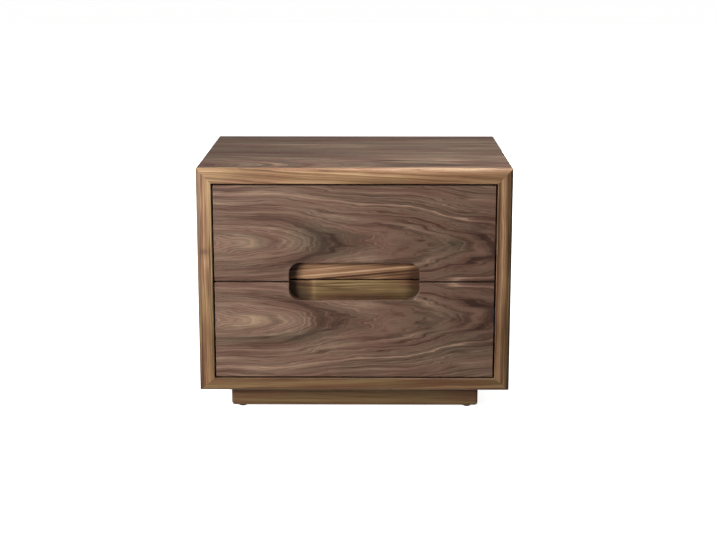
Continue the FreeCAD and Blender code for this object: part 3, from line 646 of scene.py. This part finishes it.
class NIGHTSTAND_OT_pull_backings(bpy.types.Operator):
    """The walnut boards that show behind the finger cut-out, with spots of painted shade and light"""
    bl_idname = "nightstand.pull_backings"
    bl_label = "Pull backings"

    def execute(self, context):
        low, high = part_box("upper_box_front")
        middle, foot = (high - low).x / 2, (high - low).z / 2
        # Painted shade at both ends, a painted shadow under the cut-out's upper edge, painted shade in a
        # corner and towards each side, a painted glint on the lower board, a painted band of light along
        # its head and painted shade lower down
        shaded_left_end = (middle - PULL_END, 0, 0.016, 1, -0.4)
        shaded_right_end = (middle + PULL_END, 0, 0.014, 1, -0.42)
        shadow_under_edge = (middle, foot - EDGE_SHADOW, 1, 0.0035, -0.32)
        shaded_corner = (middle + SHADED_CORNER, foot - CORNER_RISE, 0.04, 0.009, -0.3)
        dim_right = (middle + DIM_RIGHT, 0, 0.026, 1, -0.12)
        painted_glint = (middle - GLINT, 0, 0.004, 1, 0.14)
        dim_left = (middle - DIM_LEFT, 0, 0.011, 1, -0.2)
        lit_head = (middle, LIT_HEAD - foot, 1, 0.006, 0.1)
        dim_foot = (middle, DIM_FOOT - foot, 1, 0.0125, -0.19)
        dress_boards(settings("solid"), {
            "upper_box_front": (RIGHT, DOWN, Cut(
                heart=sloped(0.1704, 0.1304), zones=even(0.64), contrast=0.62, line_width=0.0055,
                line_length=1.0, fibre=0.06, wander=0.001, olive=0, seed=7.7,
                patches=(shaded_left_end, shaded_right_end, shadow_under_edge, shaded_corner, dim_right))),
            "lower_box_front": (RIGHT, DOWN, Cut(
                heart=even(0.2), zones=even(0.37), contrast=0.42, line_length=0.4, fibre=0.1,
                wander=0.004, olive=0.5, seed=9.2,
                patches=(shaded_left_end, shaded_right_end, painted_glint, dim_left, lit_head, dim_foot))),
        })
        return {"FINISHED"}


PLINTH_WAYS = {"front": RIGHT, "back": RIGHT, "left": BACK, "right": BACK}


class NIGHTSTAND_OT_plinth(bpy.types.Operator):
    """The four boards of the recessed plinth"""
    bl_idname = "nightstand.plinth"
    bl_label = "Plinth"

    def execute(self, context):
        boards = {}
        for number, (side, along) in enumerate(PLINTH_WAYS.items()):
            # Each board is darker along its foot: painted shade next to the floor
            boards["plinth_" + side] = (along, UP, Cut(
                heart=sloped(0.2, 0.19), zones=even(0.48), patches=((0.23, -0.022, 0.6, 0.005, -0.22),),
                contrast=0.2, line_length=0.6, fibre=0.06, olive=0.4, seed=10.3 + number))
        dress_boards(settings("solid"), boards)
        return {"FINISHED"}


class NIGHTSTAND_OT_back_panel(bpy.types.Operator):
    """The veneered plywood panel in the rebate at the back"""
    bl_idname = "nightstand.back_panel"
    bl_label = "Back panel"

    def execute(self, context):
        cut = Cut(heart=sloped(0.05, 0.02), depth=sloped(0.09, 0.02), seed=14.6, contrast=0.2)
        dress_boards(settings("veneer"), {"back_panel": (UP, LEFT, cut)})
        return {"FINISHED"}


BOX_BOARDS = {"_box_left_side": (BACK, UP), "_box_right_side": (BACK, UP), "_box_back": (RIGHT, UP),
              "_box_base": (RIGHT, BACK)}
FIRST_BOX_SEED = 20.0


class NIGHTSTAND_OT_drawer_boxes(bpy.types.Operator):
    """Sides, backs and bases of the drawer boxes in birch plywood, with layers on their edges"""
    bl_idname = "nightstand.drawer_boxes"
    bl_label = "Drawer boxes"

    def execute(self, context):
        boards = {}
        for level in LEVELS:
            for part, (along, across) in BOX_BOARDS.items():
                boards[level + part] = (along, across, Cut(
                    heart=sloped(0.02, 0.05), depth=sloped(0.03, 0.08), line_width=0.007,
                    contrast=0.3, wander=0.004, olive=0.4, seed=FIRST_BOX_SEED + len(boards)))
        dress_boards(settings("box"), boards, plywood=True)
        return {"FINISHED"}


class NIGHTSTAND_OT_hidden_joints(bpy.types.Operator):
    """Tenons and dowels in beech and corner blocks in pine"""
    bl_idname = "nightstand.hidden_joints"
    bl_label = "Tenons, dowels and blocks"

    def execute(self, context):
        cut = Cut(line_width=0.003, contrast=0.4, wander=0.001, seed=31.0)
        dowels = {level + "_box_dowels": (RIGHT, UP, cut) for level in LEVELS}
        dress_boards(settings("box"), {"corner_tenons": (RIGHT, UP, cut),
                                       "plinth_corner_blocks": (UP, RIGHT, cut), **dowels})
        return {"FINISHED"}


# Metals and plastics

MARK_LENGTH, MARK_WIDTH, MARK_TONE, MARK_GLOSS = 0.06, 0.0006, 0.1, 0.1
MARK_RELIEF, MARK_DEPTH = 0.15, 0.00003
BLOTCH_LENGTH, BLOTCH_WIDTH, BLOTCH_TONE, BLOTCH_GLOSS = 0.03, 0.02, 0.12, 0.08
PEBBLES, PEBBLE_GLOSS, PEBBLE_RELIEF, PEBBLE_DEPTH = 1800.0, 0.1, 0.2, 0.00005
SMEARS, SMEAR_TONES = 60.0, ((0.3, 0.85), (0.7, 1.15))


def brushed_metal(name, colour, roughness, metallic):
    """Steel with fine marks along the way it was rolled. A chalky plating is not wholly metallic."""
    material, tree, shader = new_material(name)
    axes = grain_axes(tree, Vector(), BACK, UP)
    marks = grained(tree, axes, MARK_LENGTH, MARK_WIDTH, detail=HIGH_DETAIL, roughness=ROUGH_NOISE)
    blotches = grained(tree, axes, BLOTCH_LENGTH, BLOTCH_WIDTH, detail=HIGH_DETAIL)
    gain = tree.total(1.0, tree.swing(marks, MARK_TONE), tree.swing(blotches, BLOTCH_TONE))
    gloss = tree.total(roughness, tree.swing(marks, MARK_GLOSS), tree.swing(blotches, BLOTCH_GLOSS))
    finish(tree, shader, tree.scaled(linear(colour)[:3], gain), gloss, marks, MARK_RELIEF, MARK_DEPTH)
    shader.inputs["Metallic"].default_value = metallic
    return material


def moulded_plastic(name, colour, roughness):
    """Matte plastic with the fine pebbled skin of its mould."""
    material, tree, shader = new_material(name)
    fine = tree.speckle(PEBBLES)
    tones = [(place, linear([c * gain for c in colour])) for place, gain in SMEAR_TONES]
    gloss = tree.total(roughness, tree.swing(fine, PEBBLE_GLOSS))
    finish(tree, shader, tree.ramp(tree.speckle(SMEARS), tones), gloss, fine, PEBBLE_RELIEF, PEBBLE_DEPTH)
    return material


# Screws and balls

MERGE_DISTANCE = 1e-6
SCREW_SEGMENTS, THREAD_STEPS, RIDGE_SIDES, SPIN_SEED = 24, 14, 4, 5
POINT_RADIUS, THREAD_END_RADIUS, TIP_THREAD_SHARE = 0.0001, 0.0003, 0.85
SMOOTH_ANGLE = math.radians(35)
SCREW_SIZES = ("Head radius", "Head height", "Core radius", "Tip length", "Thread pitch", "Thread depth",
               "Recess span", "Recess width", "Recess depth")


def solid_boxes(node):
    """The low and high corners of each separate solid of a node, from the left to the right."""
    form = bmesh.new()
    form.from_mesh(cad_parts[node].data)
    bmesh.ops.remove_doubles(form, verts=form.verts, dist=MERGE_DISTANCE)
    rest = set(form.verts)
    boxes = []
    while rest:
        found = [rest.pop()]
        for corner in found:
            joined = {edge.other_vert(corner) for edge in corner.link_edges} & rest
            rest -= joined
            found += joined
        axes = list(zip(*(corner.co for corner in found)))
        boxes.append([Vector([end(axis) for axis in axes]) for end in (min, max)])
    form.free()
    return sorted(boxes, key=lambda box: tuple(box[0]))


def pick(tree, index, values):
    """The value whose place in the list is the index."""
    node = tree.add("GeometryNodeIndexSwitch", data_type="FLOAT")
    while len(node.index_switch_items) < len(values):
        node.index_switch_items.new()
    for number, value in enumerate((index, *values)):
        tree.feed(node.inputs[number], value)
    return node.outputs[0]


def turned_screw(tree, given):
    """A countersunk head at Z = 0 with a cross sunk in it, a plain shank and a point."""
    bands = 3
    shank_end = tree.minus(given["Length"], given["Tip length"])
    rods = tree.made("GeometryNodeMeshCylinder", {"Vertices": SCREW_SEGMENTS, "Side Segments": bands,
                                                  "Radius": 1.0, "Depth": bands}, output="Mesh")
    position = tree.made("GeometryNodeInputPosition")
    x, y, z = tree.add("ShaderNodeSeparateXYZ", {0: position}).outputs
    ring = tree.math("ADD", z, (bands + 1) / 2)
    core = given["Core radius"]
    radius = pick(tree, ring, (given["Head radius"], core, core, POINT_RADIUS))
    height = pick(tree, ring, (0.0, given["Head height"], shank_end, given["Length"]))
    place = tree.vector(tree.times(x, radius), tree.times(y, radius), height)
    turned = tree.made("GeometryNodeSetPosition", {"Geometry": rods, "Position": place})
    sunk = tree.add("GeometryNodeMeshBoolean", {0: turned}, operation="DIFFERENCE", solver="EXACT")
    depth = tree.times(given["Recess depth"], 2.0)
    span, width = given["Recess span"], given["Recess width"]
    for arm in ((span, width), (width, span)):
        slot = tree.made("GeometryNodeMeshCube", {"Size": tree.vector(*arm, depth)}, output="Mesh")
        tree.feed(sunk.inputs[1], slot)
    return sunk.outputs[0]


def thread(tree, given, start_radius, end_radius, low, rise):
    """A ridge that winds round the screw from one height up by another."""
    turns = tree.over(rise, given["Thread pitch"])
    spiral = tree.made("GeometryNodeCurveSpiral", {
        "Resolution": THREAD_STEPS, "Rotations": turns, "Height": rise, "Start Radius": start_radius,
        "End Radius": end_radius})
    placed = tree.made("GeometryNodeTransform", {"Geometry": spiral,
                                                 "Translation": tree.vector(0.0, 0.0, low)})
    ridge = tree.made("GeometryNodeCurvePrimitiveCircle", {"Resolution": RIDGE_SIDES,
                                                           "Radius": given["Thread depth"]})
    return tree.made("GeometryNodeCurveToMesh", {"Curve": placed, "Profile Curve": ridge,
                                                 "Fill Caps": True})


def screw_tree():
    """A wood screw on each point, turned to the point's own axis and stopped at a random angle."""
    sizes = dict.fromkeys(("Length", *SCREW_SIZES), "Float")
    tree, given = new_geometry("wood_screws", {**sizes, "Metal": "Material"})
    shank = tree.minus(tree.minus(given["Length"], given["Tip length"]), given["Head height"])
    shank_end = tree.total(given["Head height"], shank)
    tip = tree.times(given["Tip length"], TIP_THREAD_SHARE)
    core = given["Core radius"]
    parts = tree.add("GeometryNodeJoinGeometry")
    for part in (turned_screw(tree, given), thread(tree, given, core, core, given["Head height"], shank),
                 thread(tree, given, core, THREAD_END_RADIUS, shank_end, tip)):
        tree.feed(parts.inputs[0], part)
    axis = tree.made("GeometryNodeInputNamedAttribute", {"Name": "axis"}, data_type="FLOAT_VECTOR")
    lined = tree.made("FunctionNodeAlignRotationToVector", {"Vector": axis}, axis="Z")
    turn = tree.made("FunctionNodeRandomValue", {"Seed": SPIN_SEED}, data_type="FLOAT", output=1)
    spin = tree.made("FunctionNodeAxisAngleToRotation", {"Axis": UP, "Angle": turn})
    turned = tree.made("FunctionNodeRotateRotation", {0: lined, 1: spin}, rotation_space="LOCAL")
    return finished_tree(tree, given, parts.outputs[0], turned)


def ball_tree():
    """A ball on each point."""
    tree, given = new_geometry("balls", {"Radius": "Float", "Segments": "Int", "Metal": "Material"})
    ball = tree.add("GeometryNodeMeshUVSphere", {"Segments": given["Segments"], "Radius": given["Radius"],
                                                 "Rings": tree.times(given["Segments"], 0.5)})
    return finished_tree(tree, given, ball.outputs["Mesh"], (0.0, 0.0, 0.0))


def finished_tree(tree, given, part, turn):
    """Sets a part on every point, as one mesh in its metal."""
    copies = tree.made("GeometryNodeInstanceOnPoints", {"Points": given["Geometry"], "Instance": part,
                                                        "Rotation": turn})
    solid = tree.made("GeometryNodeRealizeInstances", {0: copies})
    metal = tree.made("GeometryNodeSetMaterial", {"Geometry": solid, "Material": given["Metal"]})
    tree.add("NodeGroupOutput", {0: metal})
    return tree.tree


def made_on_points(name, group, places, axes, values):
    """The mesh that a geometry tree makes on a few points, as a plain piece."""
    points = bpy.data.meshes.new(name + "_points")
    points.from_pydata(places, [], [])
    ways = points.attributes.new("axis", "FLOAT_VECTOR", "POINT").data
    ways.foreach_set("vector", [c for axis in axes for c in axis])
    holder = link_mesh(name + "_points", points)
    modifier = holder.modifiers.new(name, "NODES")
    modifier.node_group = group
    for item in group.interface.items_tree:
        if item.in_out == "INPUT" and item.name in values:
            modifier[item.identifier] = values[item.name]
    mesh = bpy.data.meshes.new_from_object(holder.evaluated_get(bpy.context.evaluated_depsgraph_get()))
    mesh.name = name
    mesh.materials.pop(index=0)
    mesh.shade_smooth()
    mesh.set_sharp_from_angle(angle=SMOOTH_ANGLE)
    holder.modifiers.remove(modifier)
    bpy.data.objects.remove(holder)
    return link_mesh(name, mesh)


def fit_piece(piece, node, body):
    """Sets a finished piece in the place of a node of the frame."""
    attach(piece, body)
    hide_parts(node)


class NIGHTSTAND_OT_slides(bpy.types.Operator):
    """Zinc-plated rails and plastic ball cages of the telescopic slides"""
    bl_idname = "nightstand.slides"
    bl_label = "Slides"

    def execute(self, context):
        hardware = settings("hardware")
        zinc = brushed_metal("zinc_plated_steel", hardware.zinc, hardware.metal_roughness, hardware.plating)
        cage = moulded_plastic("cage_plastic", hardware.plastic, hardware.plastic_roughness)
        for level in LEVELS:
            for side in SIDES:
                for rail in ("case_rail", "middle_rail", "drawer_rail"):
                    dress(f"{level}_{side}_{rail}", zinc)
            for row in ("inner", "outer"):
                dress(f"{level}_{row}_ball_cages", cage)
        return {"FINISHED"}


class NIGHTSTAND_OT_balls(bpy.types.Operator):
    """The rows of steel balls that the slides run on"""
    bl_idname = "nightstand.balls"
    bl_label = "Slide balls"

    def execute(self, context):
        hardware = settings("hardware")
        steel = brushed_metal("polished_steel", hardware.steel, hardware.ball_roughness, 1.0)
        group = ball_tree()
        for level in LEVELS:
            for row in ("inner", "outer"):
                node = f"{level}_{row}_balls"
                boxes = solid_boxes(node)
                low, high = boxes[0]
                values = {"Radius": (high - low).z / 2, "Segments": hardware.ball_segments, "Metal": steel}
                places = [(low + high) / 2 for low, high in boxes]
                piece = made_on_points("turned_" + node, group, places, [UP] * len(places), values)
                fit_piece(piece, node, f"{level}_{row}_cages")
        return {"FINISHED"}


class NIGHTSTAND_OT_screws(bpy.types.Operator):
    """Countersunk wood screws with a thread and a cross in the head"""
    bl_idname = "nightstand.screws"
    bl_label = "Screws"

    def execute(self, context):
        hardware = settings("hardware")
        metal = brushed_metal("plated_screws", hardware.screw, hardware.metal_roughness, hardware.plating)
        group = screw_tree()
        sizes = {size: getattr(hardware, size.lower().replace(" ", "_")) for size in SCREW_SIZES}
        rows = {"back_screws": ("case", FRONT, FRONT), "plinth_screws": ("case", UP, UP),
                "case_slide_screws": ("case", LEFT, RIGHT)}
        for level in LEVELS:
            rows[level + "_front_screws"] = (level + "_drawer", FRONT, FRONT)
            rows[level + "_drawer_slide_screws"] = (level + "_drawer", RIGHT, LEFT)
        for node, (body, on_the_left, on_the_right) in rows.items():
            places, axes = [], []
            for low, high in solid_boxes(node):
                middle = (low + high) / 2
                axis = on_the_left if middle.x < 0 else on_the_right
                span = abs((high - low).dot(axis))
                places.append(middle - axis * span / 2)
                axes.append(axis)
            values = {**sizes, "Length": span, "Metal": metal}
            piece = made_on_points("threaded_" + node, group, places, axes, values)
            fit_piece(piece, node, body)
        return {"FINISHED"}


class NIGHTSTAND_OT_glides(bpy.types.Operator):
    """Black plastic glides under the plinth"""
    bl_idname = "nightstand.glides"
    bl_label = "Glides"

    def execute(self, context):
        hardware = settings("hardware")
        dress("glides", moulded_plastic("glide_plastic", hardware.plastic, hardware.plastic_roughness))
        return {"FINISHED"}


# Stage

WHITE = (1, 1, 1, 1)
FLOOR_RADIUS, FLOOR_SEGMENTS, WALL_HEIGHT = 12.0, 96, 9.0
CAMERA_PLACE = Vector((0.0244, -2.5945, 0.8467))
CAMERA_AIM = Vector((0.0065, -0.203, 0.3628))
# Each light's side, azimuth and elevation in degrees, and distance
LIGHTS = {"key": (0.55, -41, 13, 1.55), "top": (0.6, 32, 68, 1.1),
          "side": (1.6, 110, 25, 3.0), "back": (1.6, 175, 8, 3.0)}
SKY_RISE, GROUND_RISE = (0.15, 0.9), (-0.1, -0.8)
MOTTLE_SCALE, MOTTLE_DETAIL, MOTTLE_TONE, FLOOR_ROUGHNESS = 3.0, 4.0, 0.02, 0.8


def aimed(name, data, place, aim):
    """A light or a camera at one point, facing another."""
    thing = bpy.data.objects.new(name, data)
    thing.location = place
    thing.rotation_euler = (aim - place).to_track_quat("-Z", "Y").to_euler()
    bpy.context.scene.collection.objects.link(thing)
    return thing


def polar(azimuth, elevation, distance, centre):
    """A point round the nightstand: azimuth 0 is in front, and positive angles go to the right."""
    turn, rise = math.radians(azimuth), math.radians(elevation)
    level = math.cos(rise)
    return centre + Vector((math.sin(turn) * level, -math.cos(turn) * level, math.sin(rise))) * distance


class NIGHTSTAND_OT_stage(bpy.types.Operator):
    """A pale floor and backdrop, soft lights and the camera"""
    bl_idname = "nightstand.stage"
    bl_label = "Studio"

    def execute(self, context):
        studio = settings("studio")
        scene = context.scene
        scene.view_settings.view_transform = "Standard"
        self.sky(scene, studio)
        self.sweep(studio)
        middle = (Vector(CAD_BOX[0]) + Vector(CAD_BOX[1])) / 2
        for name, (size, *place) in LIGHTS.items():
            light = bpy.data.lights.new(name + "_light", "AREA")
            light.shape = "SQUARE"
            light.size = size
            light.energy = getattr(studio, name + "_power")
            lamp = aimed(light.name, light, polar(*place, middle), middle)
            lamp.visible_camera = False
            lamp.visible_glossy = name != "back"
        camera = bpy.data.cameras.new("camera")
        camera.lens = studio.lens
        camera.shift_y = studio.shift
        scene.camera = aimed("camera", camera, CAMERA_PLACE, CAMERA_AIM)
        return {"FINISHED"}

    def sky(self, scene, studio):
        """Even light from above, less of it from below and least from all round."""
        world = bpy.data.worlds.new("studio")
        world.use_nodes = True
        world.node_tree.nodes.clear()
        tree = Tree(world.node_tree)
        direction = tree.made("ShaderNodeTexCoord", output="Generated")
        height = tree.made("ShaderNodeSeparateXYZ", {0: direction}, output=2)
        above = tree.times(tree.rise(height, *SKY_RISE), studio.sky - studio.sides)
        below = tree.times(tree.rise(height, *GROUND_RISE), studio.bounce - studio.sides)
        strength = tree.total(studio.sides, above, below)
        background = tree.made("ShaderNodeBackground", {0: WHITE, 1: strength})
        tree.add("ShaderNodeOutputWorld", {0: background})
        scene.world = world

    def sweep(self, studio):
        """The floor and a far wall round it, which the camera sees but which throw no light."""
        material, tree, shader = new_material("pale_floor")
        shade = tree.total(1.0, tree.swing(tree.speckle(MOTTLE_SCALE, MOTTLE_DETAIL), MOTTLE_TONE))
        tree.feed(shader.inputs["Base Color"], tree.scaled(linear(studio.floor_colour)[:3], shade))
        shader.inputs["Roughness"].default_value = FLOOR_ROUGHNESS
        shader.inputs["Emission Color"].default_value = WHITE
        shader.inputs["Emission Strength"].default_value = studio.glow
        for name, flat in (("floor", True), ("far_wall", False)):
            form = bmesh.new()
            bmesh.ops.create_circle(form, cap_ends=flat, radius=FLOOR_RADIUS, segments=FLOOR_SEGMENTS)
            if not flat:
                wall = bmesh.ops.extrude_edge_only(form, edges=form.edges)["geom"]
                raised = [corner for corner in wall if isinstance(corner, bmesh.types.BMVert)]
                bmesh.ops.translate(form, verts=raised, vec=UP * WALL_HEIGHT)
            mesh = bpy.data.meshes.new(name)
            form.to_mesh(mesh)
            form.free()
            mesh.materials.append(material)
            surface = link_mesh(name, mesh)
            surface.visible_diffuse = False
            surface.visible_glossy = False
            surface.visible_shadow = flat


class NIGHTSTAND_PT_panel(bpy.types.Panel):
    """Settings and pieces of the nightstand"""
    bl_idname = "NIGHTSTAND_PT_panel"
    bl_label = "Nightstand"
    bl_space_type = "VIEW_3D"
    bl_region_type = "UI"
    bl_category = "Nightstand"

    def draw(self, context):
        for name, group in GROUPS.items():
            box = self.layout.box()
            box.label(text=name.capitalize())
            for key in group.__annotations__:
                box.prop(settings(name), key)
        for operator in OPERATORS:
            self.layout.operator(operator.bl_idname)


GROUPS = {"veneer": VeneerTones, "solid": SolidTones, "box": BoxTones, "hardware": Hardware,
          "studio": Studio}
OPERATORS = (NIGHTSTAND_OT_stage, NIGHTSTAND_OT_case_veneer, NIGHTSTAND_OT_lippings,
             NIGHTSTAND_OT_drawer_fronts, NIGHTSTAND_OT_pull_backings, NIGHTSTAND_OT_plinth,
             NIGHTSTAND_OT_back_panel, NIGHTSTAND_OT_drawer_boxes, NIGHTSTAND_OT_hidden_joints,
             NIGHTSTAND_OT_slides, NIGHTSTAND_OT_balls, NIGHTSTAND_OT_screws, NIGHTSTAND_OT_glides)
CLASSES = (*GROUPS.values(), *OPERATORS, NIGHTSTAND_PT_panel)


def register():
    for each in CLASSES:
        bpy.utils.register_class(each)
    for name, group in GROUPS.items():
        setattr(bpy.types.Scene, "nightstand_" + name, PointerProperty(type=group))


def unregister():
    for name in GROUPS:
        delattr(bpy.types.Scene, "nightstand_" + name)
    for each in reversed(CLASSES):
        bpy.utils.unregister_class(each)


def main():
    register()
    for operator in OPERATORS:
        step = operator.bl_idname.partition(".")[2]
        getattr(bpy.ops.nightstand, step)()


if __name__ == "__main__":
    main()
